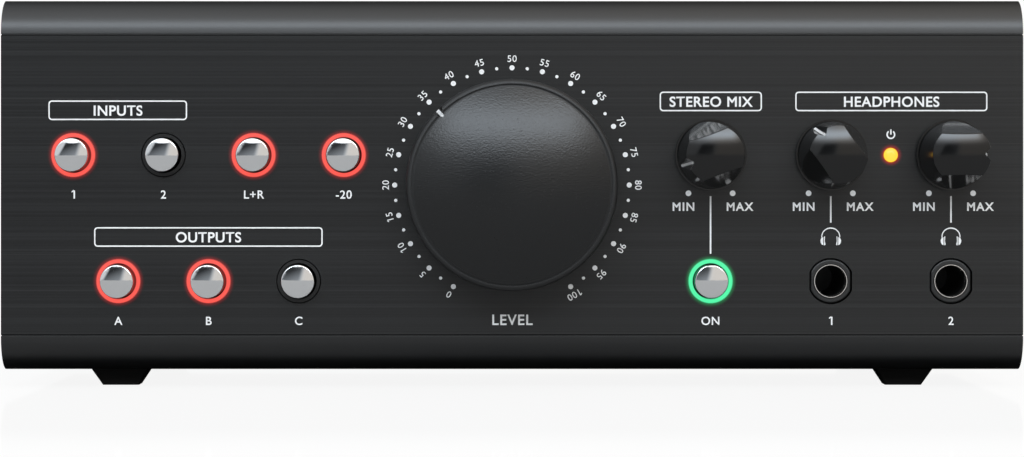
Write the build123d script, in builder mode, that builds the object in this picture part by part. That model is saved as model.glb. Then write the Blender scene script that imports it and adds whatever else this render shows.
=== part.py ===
"""Studio monitor controller: a desktop box with one large dial, three small dials,
eight push buttons and two headphone sockets in front, and its sockets behind.

Millimetres. +X to the right, +Y to the rear, +Z up. The front faces -Y, and the origin
is on the ground under the middle of the whole thing, dials and rear sockets included.
"""

import os
from math import cos, radians, sin, sqrt, tan

from build123d import *

os.makedirs("parts", exist_ok=True)

# ------------------------------------------------------------ driving dimensions

# case
body_width = 216.0
body_height = 78.6
body_depth = 108.0
foot_height = 3.7
roll_radius = 7.2
roll_land = 0.2
bezel_depth = 9.5
bezel_wall = 2.2
bezel_web = 3.0
sheet = 1.2
bend_radius = 0.8
seam = 0.15
plate = 1.0
plate_gap = 0.15
plate_bevel = 0.2
flange_gap = 0.5

# feet
foot_top_width = 12.4
foot_top_length = 10.0
foot_bottom_width = 7.8
foot_bottom_length = 6.2
foot_inset_side = 23.8
foot_inset_front = 15.0
foot_inset_rear = 16.0
foot_edge = 0.5

# fasteners
screw_radius = 1.45
screw_hole_radius = 1.6
screw_head_radius = 2.8
screw_head_height = 1.6
screw_length = 6.0
screw_slot_width = 0.8
screw_slot_depth = 0.7
countersink_angle = 90.0
foot_screw_length = 3.2
lug_width = 12.0
lug_length = 9.0
lug_height = 7.0
lug_gap = 1.2
lug_end = 1.0
screw_end_gap = 1.2
bottom_lug_spacing = 130.0
side_lug_drop = 18.0
tray_screw_spacing = 52.0
panel_screw_inset = 10.0

# control places on the faceplate: columns from its ends, rows from its middle
dial_pitch = 25.4
button_pitch = 19.05
button_margin = 15.3
dial_margin = 15.25
upper_row = 6.35
lower_row = -20.3

# volume dial
volume_height = 18.0
volume_base_radius = 22.4
volume_rim_radius = 21.9
volume_face_radius = 20.6
volume_face_sag = 4.3
volume_rim_round = 0.9
volume_groove = 0.35
volume_wall = 2.2
volume_hollow_height = 10.5
volume_turn = -45.0
volume_notch_width = 3.0
volume_notch_depth = 2.4
volume_notch_height = 7.0
volume_notch_bend = 30.0
volume_pointer_width = 0.8
volume_pointer_end_gap = 1.6

# small dials
knob_height = 17.0
knob_skirt_radius = 7.5
knob_skirt_height = 1.5
knob_cone_radius = 7.2
knob_top_radius = 6.05
knob_top_sag = 1.15
knob_edge_round = 0.25
knob_flat_top = 4.1
knob_flat_height = 2.4
knob_notch_width = 3.0
knob_notch_depth = 1.4
knob_notch_height = 3.0
knob_notch_bend = 60.0
knob_pointer_width = 0.55
knob_pointer_end_gap = 2.3
crossfeed_turn = -110.0
phones_1_turn = -35.5
phones_2_turn = 90.0
pointer_thickness = 0.7
pointer_lift = 0.3
pointer_inset = 0.3
groove_reach = 3.0
groove_round = 0.35

# dial shafts, potentiometers and nuts
dial_gap = 0.6
shaft_radius = 3.0
shaft_running_gap = 0.05
shaft_bite = 8.5
pot_floor = 2.0
pot_pin_width = 1.0
pot_pin_spacing = 3.5
pot_pins = 3
volume_hub_radius = 8.0
bush_radius = 3.5
bush_gap = 0.1
bush_proud = 0.6
nut_width = 10.0
nut_thickness = 2.0
nut_clearance = 0.5
pot_width = 11.0
pot_depth = 9.0
volume_pot_radius = 8.5
shaft_end_gap = 0.6

# buttons, light rings and switches
button_radius = 3.5
button_height = 3.7
button_dome_radius = 18.0
button_edge = 0.25
button_skirt = 3.2
stem_radius = 1.6
button_travel = 1.5
ring_outer_radius = 4.68
ring_inner_radius = 3.75
ring_proud = 0.1
ring_gap = 0.05
ring_flange_radius = 5.6
ring_flange_thickness = 1.2
switch_width = 7.0
switch_depth = 8.6
stem_gap = 0.3
stem_bite = 3.0
switch_floor_gap = 0.5
power_led_radius = 1.63
power_led_proud = 0.5
power_led_dome = 1.2
power_led_length = 8.0
lead_width = 0.6
lead_spacing = 2.54

# headphone and rear sockets
socket_bore_radius = 3.35
socket_depth = 27.0
socket_width = 16.0
socket_floor = 1.5
phone_hole_radius = 4.9
phone_hole_width = 9.0
phone_nose_gap = 0.25
phone_nose_inset = 0.25
phone_nose_round = 0.4
ferrule_radius = 3.62
ferrule_length = 4.0
nose_radius = 5.4
nose_gap = 0.15
nose_reach = 4.0
rear_pitch = 25.4
rear_columns = 5
source_columns = 2
first_rear_x = -86.0
rear_nut_width = 14.0
rear_nut_thickness = 2.2

# rear power and data
usb_x = 40.0
usb_width = 12.0
usb_height = 11.0
usb_depth = 16.0
usb_mouth_width = 8.5
usb_mouth_height = 7.8
usb_mouth_depth = 12.0
usb_tongue_width = 5.6
usb_tongue_height = 3.2
usb_tongue_inset = 4.8
usb_proud = 0.4
inlet_x = 60.0
inlet_width = 10.0
inlet_height = 12.0
inlet_depth = 14.0
inlet_nose_radius = 4.2
inlet_proud = 0.5
inlet_bore_radius = 3.15
inlet_bore_depth = 10.5
inlet_pin_radius = 1.0
inlet_pin_inset = 1.0
inlet_axis_height = 6.5
panel_cut_gap = 0.2
rocker_x = 85.0
rocker_frame_width = 15.0
rocker_frame_height = 21.0
rocker_frame_lip = 1.5
rocker_frame_flange = 1.5
rocker_frame_depth = 14.0
rocker_frame_wall = 1.2
rocker_gap = 0.3
rocker_end_gap = 1.0
rocker_tilt = 6.0
rocker_rise = 1.9
rocker_pivot_depth = 3.5
rocker_below_pivot = 3.0
rocker_pin_radius = 1.0
rocker_pin_bite = 0.8

# boards
board = 1.6
board_side_gap = 6.0
board_front_gap = 2.0
board_rear_gap = 2.5
front_board_gap = 19.0
front_board_bottom = 1.5
front_board_height = 58.0
header_width = 30.0
header_height = 7.0
header_depth = 6.0
standoff_radius = 3.0
capacitor_radius = 5.0
capacitor_height = 16.0
capacitor_round = 1.0
capacitor_x = -45.0
capacitor_pitch = 14.0
capacitors_across = 4
capacitors_deep = 2
chip_width = 9.9
chip_length = 6.0
chip_height = 1.75
chip_pitch = 17.0
chips_across = 4
chips_deep = 2
chip_x = 45.0
parts_y = 7.0
header_bevel = 1.0
board_screw_inset = 6.0
front_board_screw_setback = 30.0
rear_board_screw_setback = 8.0
rear_board_edge = 10.0
jack_notch_gap = 3.0

# ------------------------------------------------------------ places worked out

bottom = foot_height
top = foot_height + body_height
middle = foot_height + body_height / 2
front = (volume_height - body_depth - nose_reach) / 2
back = front + body_depth
bezel_back = front + bezel_depth
web_front = front + plate
web_back = web_front + bezel_web
panel_front = back - sheet
cover_inside = body_width / 2 - sheet
tray_half = cover_inside - seam
recess_height = body_height - 2 * (roll_radius + roll_land)

first_button_x = button_margin - body_width / 2
first_small_dial_x = body_width / 2 - dial_margin - 2 * dial_pitch
upper_z = middle + upper_row
lower_z = middle + lower_row
# the sockets stand on the main board, level with the lower row of buttons
board_top = lower_z - socket_width / 2
board_bottom = board_top - board
# the tray's lips end below the sockets, and the bezel's lower lugs below the board
flange = board_top - flange_gap - bottom
bottom_lug_height = board_bottom - lug_gap - bottom - sheet
bottom_hole_depth = bottom_lug_height - lug_end
bottom_screw_length = sheet + bottom_hole_depth - screw_end_gap
front_board_front = front + front_board_gap
switch_front = front_board_front - switch_depth

rear_socket_back = panel_front - socket_depth

dial_places = {
    "volume": (0.0, middle, volume_turn),
    "crossfeed": (first_small_dial_x, upper_z, crossfeed_turn),
    "phones_1": (first_small_dial_x + dial_pitch, upper_z, phones_1_turn),
    "phones_2": (first_small_dial_x + 2 * dial_pitch, upper_z, phones_2_turn),
}
small_dials = [name for name in dial_places if name != "volume"]

button_places = {
    "source_1": (first_button_x, upper_z),
    "source_2": (first_button_x + button_pitch, upper_z),
    "mono": (first_button_x + 2 * button_pitch, upper_z),
    "dim": (first_button_x + 3 * button_pitch, upper_z),
    "monitor_a": (first_button_x + button_pitch / 2, lower_z),
    "monitor_b": (first_button_x + 3 * button_pitch / 2, lower_z),
    "monitor_c": (first_button_x + 5 * button_pitch / 2, lower_z),
    "crossfeed": (first_small_dial_x, lower_z),
}
ring_colours = {
    "red": ["source_1", "mono", "dim", "monitor_a", "monitor_b"],
    "dark": ["source_2", "monitor_c"],
    "green": ["crossfeed"],
}

phone_places = {
    "phones_1": (dial_places["phones_1"][0], lower_z),
    "phones_2": (dial_places["phones_2"][0], lower_z),
}
power_led_x = first_small_dial_x + 3 * dial_pitch / 2

rear_columns_x = [first_rear_x + column * rear_pitch for column in range(rear_columns)]
rear_rows_z = [lower_z, lower_z + rear_pitch]
source_places = [(x, z) for x in rear_columns_x[:source_columns] for z in rear_rows_z]
monitor_places = [(x, z) for x in rear_columns_x[source_columns:] for z in rear_rows_z]
rear_places = source_places + monitor_places

usb_z = board_top + usb_height / 2
inlet_z = board_top + inlet_axis_height
rocker_z = middle

foot_x = body_width / 2 - foot_inset_side
foot_places = {
    "foot_front_left": (-foot_x, front + foot_inset_front),
    "foot_front_right": (foot_x, front + foot_inset_front),
    "foot_rear_left": (-foot_x, back - foot_inset_rear),
    "foot_rear_right": (foot_x, back - foot_inset_rear),
}

bottom_lug_places = [
    (side * bottom_lug_spacing / 2, bezel_back + lug_length / 2) for side in (-1, 1)
]
side_lug_z = top - side_lug_drop
tray_middle = (bezel_back + back) / 2
side_screw_z = bottom + (flange + sheet) / 2
cover_screw_y = [
    tray_middle - tray_screw_spacing / 2,
    tray_middle + tray_screw_spacing / 2,
]
panel_screw_places = [
    (side * (body_width / 2 - panel_screw_inset), z)
    for side in (-1, 1)
    for z in (bottom + (flange + sheet) / 2, top - (flange + sheet) / 2)
]
side_faces = [(side * body_width / 2, (side, 0, 0)) for side in (-1, 1)]
cover_screw_seats = [
    Plane(origin=(x, y, side_screw_z), z_dir=outward)
    for x, outward in side_faces
    for y in cover_screw_y
]
side_lug_seats = [
    Plane(origin=(x, bezel_back + lug_length / 2, side_lug_z), z_dir=outward)
    for x, outward in side_faces
]
bottom_lug_seats = [
    Plane(origin=(x, y, bottom), z_dir=(0, 0, -1)) for x, y in bottom_lug_places
]
board_left = -(tray_half - sheet - board_side_gap)
board_right = -board_left
board_front = web_back + board_front_gap
board_back = panel_front - board_rear_gap
board_screw_places = [
    (x, y)
    for x in (board_left + board_screw_inset, 0.0, board_right - board_screw_inset)
    for y in (
        board_front + front_board_screw_setback,
        rear_socket_back - rear_board_screw_setback,
    )
]


def upright(y):
    """The plane across the case at y, facing the user: local x is X and local y is Z."""
    return Plane.XZ.offset(-y)


def dial_plane(name, height=0.0):
    """The plane on a dial's axis, `height` before the faceplate: local y is its pointer."""
    x, z, turn = dial_places[name]
    across = (cos(radians(turn)), 0, -sin(radians(turn)))
    return Plane(origin=(x, front - height, z), x_dir=across, z_dir=(0, -1, 0))


def dial_section(name):
    """The plane through a dial's axis and pointer: local x is radius, local y is height."""
    x, z, turn = dial_places[name]
    pointer = (sin(radians(turn)), 0, cos(radians(turn)))
    across = (cos(radians(turn)), 0, -sin(radians(turn)))
    return Plane(origin=(x, front, z), x_dir=pointer, z_dir=across)


def side_section(name):
    """The plane through a dial's axis, across its pointer: local y is height."""
    facing = dial_plane(name)
    return Plane(facing.origin, x_dir=facing.x_dir, z_dir=facing.y_dir * -1)


def dial_axis(name):
    """The line that a dial turns about, pointing at the user."""
    x, z, _ = dial_places[name]
    return Axis((x, front, z), (0, -1, 0))


def save(piece, name):
    """Labels the piece and writes it as parts/name.step."""
    piece.part.label = name
    export_step(piece.part, f"parts/{name}.step")


# ------------------------------------------------------------ openings in the front


def two_flat_disc(gap):
    """A headphone socket's round outline with a flat on each side, drawn in by `gap`."""
    with BuildSketch() as outline:
        Circle(phone_hole_radius - gap)
        Rectangle(phone_hole_width - 2 * gap, 2 * phone_hole_radius, mode=Mode.INTERSECT)
    return outline.sketch_local


def draw_front_openings(mode=Mode.ADD):
    """The holes that the faceplate and the bezel's web share, drawn in the open sketch."""
    with Locations(*[(x, z) for x, z, _ in dial_places.values()]):
        Circle(bush_radius + bush_gap, mode=mode)
    with Locations(*button_places.values()):
        Circle(ring_outer_radius + ring_gap, mode=mode)
    with Locations((power_led_x, upper_z)):
        Circle(power_led_radius + ring_gap, mode=mode)
    with Locations(*phone_places.values()):
        add(two_flat_disc(0.0), mode=mode)


# ------------------------------------------------------------ case

# Front bezel: a moulding with rolled long edges, closed cheeks and an open back.
with BuildPart() as front_bezel:
    with BuildSketch(upright(bezel_back)):
        with Locations((0, middle)):
            Rectangle(body_width, body_height)
    extrude(amount=bezel_depth)
    fillet(front_bezel.edges().filter_by(Axis.X).group_by(Axis.Y)[0], roll_radius)
    # the hollow behind the web, rounded to follow the rolls
    with BuildSketch(Plane.YZ.offset(bezel_wall - body_width / 2)) as hollow:
        with Locations(((web_back + bezel_back) / 2, middle)):
            Rectangle(bezel_back - web_back, body_height - 2 * bezel_wall)
        fillet(hollow.vertices().group_by(Axis.X)[0], roll_radius - web_back + front)
    extrude(amount=body_width - 2 * bezel_wall, mode=Mode.SUBTRACT)
    # the recess that the faceplate drops into
    with BuildSketch(upright(web_front)):
        with Locations((0, middle)):
            Rectangle(body_width, recess_height)
    extrude(amount=plate, mode=Mode.SUBTRACT)
    with BuildSketch(upright(web_back)):
        draw_front_openings()
    extrude(amount=bezel_web, mode=Mode.SUBTRACT)
    # lugs for the screws: two over the tray, one inside each side of the cover
    with BuildSketch(Plane.XY.offset(bottom + sheet)):
        with Locations(*bottom_lug_places):
            with Locations((0, -(bezel_back - web_back) / 2)):
                Rectangle(lug_width, lug_length + bezel_back - web_back)
    extrude(amount=bottom_lug_height)
    with BuildSketch(Plane.YZ.offset(-cover_inside)):
        with Locations(((web_back + bezel_back + lug_length) / 2, side_lug_z)):
            Rectangle(lug_length + bezel_back - web_back, lug_width)
    extrude(amount=lug_height)
    with BuildSketch(Plane.YZ.offset(cover_inside)):
        with Locations(((web_back + bezel_back + lug_length) / 2, side_lug_z)):
            Rectangle(lug_length + bezel_back - web_back, lug_width)
    extrude(amount=-lug_height)
    with BuildSketch(Plane.XY.offset(bottom + sheet)):
        with Locations(*bottom_lug_places):
            Circle(screw_radius)
    extrude(amount=bottom_hole_depth, mode=Mode.SUBTRACT)
    for side in (-1, 1):
        with BuildSketch(Plane.YZ.offset(side * cover_inside)):
            with Locations((bezel_back + lug_length / 2, side_lug_z)):
                Circle(screw_radius)
        extrude(amount=-side * screw_length, mode=Mode.SUBTRACT)
save(front_bezel, "front_bezel")

# Faceplate: brushed sheet, as wide as the case, bored for every control.
with BuildPart() as faceplate:
    with BuildSketch(upright(web_front)):
        with Locations((0, middle)):
            Rectangle(body_width, recess_height - 2 * plate_gap)
        draw_front_openings(Mode.SUBTRACT)
    extrude(amount=plate)
    chamfer(faceplate.edges().filter_by(Axis.X).group_by(Axis.Y)[0], plate_bevel)
save(faceplate, "faceplate")

# Top cover: one folded sheet, the top and both sides, with a lip down behind.
with BuildPart() as top_cover:
    with BuildSketch(upright(back)) as outer:
        with Locations((0, middle)):
            Rectangle(body_width, body_height)
        fillet(outer.vertices().group_by(Axis.Y)[-1], bend_radius + sheet)
    extrude(amount=back - bezel_back)
    with BuildSketch(upright(back)) as inner:
        with Locations((0, middle - sheet)):
            Rectangle(2 * cover_inside, body_height)
        fillet(inner.vertices().group_by(Axis.Y)[-1], bend_radius)
    extrude(amount=back - bezel_back, mode=Mode.SUBTRACT)
    with BuildSketch(upright(panel_front)):
        with Locations((0, top - flange / 2 - sheet / 2)):
            Rectangle(2 * (cover_inside - bend_radius - seam), flange - sheet)
        with Locations(*[place for place in panel_screw_places if place[1] > middle]):
            Circle(screw_radius, mode=Mode.SUBTRACT)
    extrude(amount=sheet)
    with Locations(*cover_screw_seats, *side_lug_seats):
        CounterSinkHole(screw_head_radius - sheet, screw_head_radius, sheet, countersink_angle)
save(top_cover, "top_cover")

# Base tray: a folded sheet with a lip up along both sides and behind.
with BuildPart() as base_tray:
    with BuildSketch(Plane.XY.offset(bottom)):
        with Locations((0, (bezel_back + back) / 2)):
            Rectangle(2 * tray_half, back - bezel_back)
    extrude(amount=sheet)
    with BuildSketch(Plane.XY.offset(bottom)):
        with Locations((0, panel_front - sheet / 2)):
            Rectangle(2 * (tray_half - sheet - seam), sheet)
        for side in (-1, 1):
            with Locations((side * (tray_half - sheet / 2), (bezel_back + panel_front - sheet) / 2)):
                Rectangle(sheet, panel_front - sheet - bezel_back - 2 * seam)
    extrude(amount=flange)
    with BuildSketch(Plane.XY.offset(bottom)):
        with Locations(*foot_places.values()):
            Circle(screw_hole_radius)
    extrude(amount=sheet, mode=Mode.SUBTRACT)
    with Locations(*bottom_lug_seats):
        CounterSinkHole(screw_head_radius - sheet, screw_head_radius, sheet, countersink_angle)
    with BuildSketch(Plane.YZ.offset(-tray_half)):
        with Locations(*[(y, side_screw_z) for y in cover_screw_y]):
            Circle(screw_radius)
    extrude(amount=2 * tray_half, mode=Mode.SUBTRACT)
    with BuildSketch(upright(panel_front)):
        with Locations(*[place for place in panel_screw_places if place[1] < middle]):
            Circle(screw_radius)
    extrude(amount=sheet, mode=Mode.SUBTRACT)
save(base_tray, "base_tray")

# Rear panel: a flat sheet between the cover's sides, standing on the tray.
with BuildPart() as rear_panel:
    with BuildSketch(upright(back)):
        with Locations((0, (bottom + top - seam) / 2)):
            Rectangle(2 * (cover_inside - bend_radius - seam), body_height - 2 * sheet - seam)
        with Locations(*rear_places):
            Circle(nose_radius + nose_gap, mode=Mode.SUBTRACT)
        with Locations((usb_x, usb_z)):
            Rectangle(
                usb_width + 2 * panel_cut_gap,
                usb_height + 2 * panel_cut_gap,
                mode=Mode.SUBTRACT,
            )
        with Locations((inlet_x, inlet_z)):
            Circle(inlet_nose_radius + panel_cut_gap, mode=Mode.SUBTRACT)
        with Locations((rocker_x, rocker_z)):
            Rectangle(
                rocker_frame_width + 2 * panel_cut_gap,
                rocker_frame_height + 2 * panel_cut_gap,
                mode=Mode.SUBTRACT,
            )
        with Locations(*panel_screw_places):
            Circle(screw_hole_radius, mode=Mode.SUBTRACT)
    extrude(amount=sheet)
save(rear_panel, "rear_panel")

# Feet: rubber blocks that narrow towards the ground, each with a blind hole on top.
for name, (x, y) in foot_places.items():
    with BuildPart() as foot:
        with BuildSketch(Plane.XY):
            with Locations((x, y)):
                RectangleRounded(foot_bottom_width, foot_bottom_length, foot_edge)
        with BuildSketch(Plane.XY.offset(foot_height)):
            with Locations((x, y)):
                RectangleRounded(foot_top_width, foot_top_length, foot_edge)
        loft()
        with BuildSketch(Plane.XY.offset(foot_height)):
            with Locations((x, y)):
                Circle(screw_radius)
        extrude(amount=sheet - foot_screw_length, mode=Mode.SUBTRACT)
    save(foot, name)

# ------------------------------------------------------------ fasteners


def screw(seat, head_height, length):
    """A cross-head screw with its shank behind the seat plane.

    A positive head height stands out of the plane as a pan head, and a negative one is
    the depth of a countersunk head that narrows from the plane down to the shank.
    """
    with BuildPart() as piece:
        with BuildSketch(seat):
            Circle(screw_head_radius)
        if head_height > 0:
            extrude(amount=head_height)
            fillet(piece.edges().sort_by(Axis(seat.origin, seat.z_dir))[-1], head_height / 2)
        else:
            extrude(amount=head_height, taper=countersink_angle / 2)
        with BuildSketch(seat):
            Circle(screw_radius)
        extrude(amount=-length)
        with BuildSketch(seat.offset(max(head_height, 0))):
            Rectangle(screw_head_radius, screw_slot_width)
            Rectangle(screw_slot_width, screw_head_radius)
        extrude(amount=-screw_slot_depth, mode=Mode.SUBTRACT)
    return piece.part


def screw_seats(places, outward):
    """Planes at the places, each facing outward."""
    return [Plane(origin=place, z_dir=outward) for place in places]


with BuildPart() as cover_screws:
    for seat in cover_screw_seats:
        add(screw(seat, -sheet, screw_length))
save(cover_screws, "cover_screws")

with BuildPart() as bezel_screws:
    for seat in side_lug_seats:
        add(screw(seat, -sheet, screw_length))
    for seat in bottom_lug_seats:
        add(screw(seat, -sheet, bottom_screw_length))
save(bezel_screws, "bezel_screws")

with BuildPart() as rear_panel_screws:
    for seat in screw_seats([(x, back, z) for x, z in panel_screw_places], (0, 1, 0)):
        add(screw(seat, screw_head_height, screw_length))
save(rear_panel_screws, "rear_panel_screws")

with BuildPart() as board_screws:
    for seat in screw_seats([(x, y, board_top) for x, y in board_screw_places], (0, 0, 1)):
        add(screw(seat, screw_head_height, screw_length))
save(board_screws, "board_screws")

foot_seats = [(x, y, bottom + sheet) for x, y in foot_places.values()]
with BuildPart() as foot_screws:
    for seat in screw_seats(foot_seats, (0, 0, 1)):
        add(screw(seat, screw_head_height, foot_screw_length))
save(foot_screws, "foot_screws")

# ------------------------------------------------------------ boards

# Standoffs: round spacers between the tray and the main board.
with BuildPart() as board_standoffs:
    with BuildSketch(Plane.XY.offset(bottom + sheet)):
        with Locations(*board_screw_places):
            Circle(standoff_radius)
            Circle(screw_radius, mode=Mode.SUBTRACT)
    extrude(amount=board_bottom - bottom - sheet)
save(board_standoffs, "board_standoffs")

# Main board: carries the sockets and stands on the standoffs.
with BuildPart() as main_board:
    with BuildSketch(Plane.XY.offset(board_bottom)):
        with Locations((0, (board_front + board_back) / 2)):
            Rectangle(board_right - board_left, board_back - board_front)
        with Locations(*board_screw_places):
            Circle(screw_hole_radius, mode=Mode.SUBTRACT)
    extrude(amount=board)
save(main_board, "main_board")

# Front board: upright behind the dials and switches, cut away round the headphone sockets.
notch_left = phone_places["phones_1"][0] - socket_width / 2 - jack_notch_gap
notch_top = lower_z + socket_width / 2 + jack_notch_gap
with BuildPart() as front_board:
    with BuildSketch(upright(front_board_front + board)):
        with Locations((0, board_top + front_board_bottom + front_board_height / 2)):
            Rectangle(board_right - board_left, front_board_height)
        with Locations(((notch_left + board_right) / 2, (bottom + notch_top) / 2)):
            Rectangle(board_right - notch_left, notch_top - bottom, mode=Mode.SUBTRACT)
    extrude(amount=board)
save(front_board, "front_board")

# Header: a plug block that stands on the main board and carries the front board.
with BuildPart() as board_header:
    with BuildSketch(Plane.XY.offset(board_top)):
        with Locations((0, front_board_front + board + header_depth / 2)):
            Rectangle(header_width, header_depth)
    extrude(amount=header_height)
    chamfer(board_header.edges().filter_by(Axis.X).group_by(Axis.Z)[-1], header_bevel)
save(board_header, "board_header")

# Rear socket board: upright across the backs of the ten rear sockets.
with BuildPart() as rear_socket_board:
    with BuildSketch(upright(rear_socket_back)):
        with Locations(
            (
                (rear_columns_x[0] + rear_columns_x[-1]) / 2,
                (board_top + rear_rows_z[-1] + rear_board_edge) / 2,
            )
        ):
            Rectangle(
                rear_columns_x[-1] - rear_columns_x[0] + 2 * rear_board_edge,
                rear_rows_z[-1] + rear_board_edge - board_top,
            )
    extrude(amount=board)
save(rear_socket_board, "rear_socket_board")

# Capacitors: upright cans on the main board.
with BuildPart() as board_capacitors:
    with BuildSketch(Plane.XY.offset(board_top)):
        with Locations((capacitor_x, parts_y)):
            with GridLocations(capacitor_pitch, capacitor_pitch, capacitors_across, capacitors_deep):
                Circle(capacitor_radius)
    extrude(amount=capacitor_height)
    fillet(board_capacitors.edges().group_by(Axis.Z)[-1], capacitor_round)
save(board_capacitors, "board_capacitors")

# Chips: flat packages on the main board.
with BuildPart() as board_chips:
    with BuildSketch(Plane.XY.offset(board_top)):
        with Locations((chip_x, parts_y)):
            with GridLocations(chip_pitch, chip_pitch, chips_across, chips_deep):
                Rectangle(chip_width, chip_length)
    extrude(amount=chip_height)
save(board_chips, "board_chips")

# ------------------------------------------------------------ dials

nut_corner = nut_width / sqrt(3)
nut_recess_top = dial_gap + nut_thickness + bush_proud
shaft_top = nut_recess_top + shaft_bite
shaft_bottom = -(plate + bezel_web + pot_depth - pot_floor - shaft_end_gap)


def pointer_curve(name, top, foot, bend):
    """The hollow curve that a knob's pointer follows, between two (radius, height) ends."""
    with BuildLine(dial_section(name)) as curve:
        RadiusArc(top, foot, -bend)
    return curve.line.edge()


def across_curve(name, curve):
    """The plane across the start of a pointer's curve: local x points out of the knob."""
    along = curve % 0
    return Plane(origin=curve @ 0, x_dir=dial_section(name).z_dir.cross(along), z_dir=along)


def pointer_groove(name, curve, width, depth):
    """A V groove whose rounded bottom follows the curve, open to `width` at `depth`."""
    below = groove_round * (sqrt(depth**2 + (width / 2) ** 2) / (width / 2) - 1)
    with BuildPart() as groove:
        with BuildSketch(across_curve(name, curve)) as opening:
            with BuildLine():
                Polyline(
                    (-below, 0),
                    (groove_reach * depth, groove_reach * width / 2),
                    (groove_reach * depth, -groove_reach * width / 2),
                    close=True,
                )
            make_face()
            fillet(opening.vertices().sort_by(Axis.X)[0], groove_round)
        sweep(path=curve)
    return groove.part


def pointer_bar(name, curve, width, start, end_gap):
    """A bar with rounded ends in the groove's bottom, from `start` down its curve."""
    path = curve.trim(start / curve.length, 1 - end_gap / curve.length)
    with BuildPart() as bar:
        with BuildSketch(across_curve(name, path)):
            with Locations((pointer_lift - pointer_thickness / 2, 0)):
                Rectangle(pointer_thickness, width)
        sweep(path=path)
        slack = pointer_thickness / 9
        corners = bar.edges().filter_by(lambda edge: abs(edge.length - pointer_thickness) < slack)
        fillet(corners, width / 3)
    return bar.part


def keep_in_ball(x, z, height, radius):
    """Rounds a piece off to a dome whose top is `height` before the faceplate."""
    with Locations((x, front - height + radius, z)):
        Sphere(radius, mode=Mode.INTERSECT)


# Volume knob: hollow, with a domed face inside a rounded rim, and a hub for the shaft.
volume_face_height = volume_height - volume_face_sag
volume_dome_radius = (volume_face_radius**2 + volume_face_sag**2) / (2 * volume_face_sag)
groove_edge = volume_face_radius + volume_groove
volume_curve = pointer_curve(
    "volume",
    (volume_rim_radius - volume_notch_depth, volume_face_height + volume_notch_depth),
    (volume_base_radius, volume_notch_height),
    volume_notch_bend,
)
volume_notch = pointer_groove("volume", volume_curve, volume_notch_width, volume_notch_depth)
volume_bar = pointer_bar(
    "volume",
    volume_curve,
    volume_pointer_width,
    volume_notch_depth + pointer_inset,
    volume_pointer_end_gap,
)

with BuildPart() as volume_face:
    with BuildSketch(dial_plane("volume", volume_hollow_height)):
        Circle(volume_face_radius)
    extrude(amount=volume_height - volume_hollow_height)
    keep_in_ball(0, middle, volume_height, volume_dome_radius)

with BuildPart() as volume_knob:
    with BuildSketch(dial_section("volume")):
        with BuildLine():
            Polyline(
                (0, volume_face_height - volume_groove),
                (0, dial_gap),
                (volume_base_radius, dial_gap),
                (volume_rim_radius, volume_face_height - volume_rim_round),
            )
            RadiusArc(
                (volume_rim_radius, volume_face_height - volume_rim_round),
                (volume_rim_radius - volume_rim_round, volume_face_height),
                -volume_rim_round,
            )
            Polyline(
                (volume_rim_radius - volume_rim_round, volume_face_height),
                (groove_edge, volume_face_height),
                (groove_edge, volume_face_height - volume_groove),
                (0, volume_face_height - volume_groove),
            )
        make_face()
    revolve(axis=dial_axis("volume"))
    add(volume_face)
    with BuildSketch(dial_plane("volume", dial_gap)):
        Circle(volume_base_radius - volume_wall)
        Circle(volume_hub_radius, mode=Mode.SUBTRACT)
    extrude(amount=volume_hollow_height - dial_gap, mode=Mode.SUBTRACT)
    with BuildSketch(dial_plane("volume", dial_gap)):
        Circle(nut_corner + nut_clearance)
    extrude(amount=nut_recess_top - dial_gap, mode=Mode.SUBTRACT)
    with BuildSketch(dial_plane("volume", dial_gap)):
        Circle(shaft_radius)
    extrude(amount=shaft_top - dial_gap, mode=Mode.SUBTRACT)
    add(volume_notch, mode=Mode.SUBTRACT)
    add(volume_bar, mode=Mode.SUBTRACT)
save(volume_knob, "volume_knob")

with BuildPart() as volume_pointer:
    add(volume_bar)
save(volume_pointer, "volume_pointer")

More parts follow.
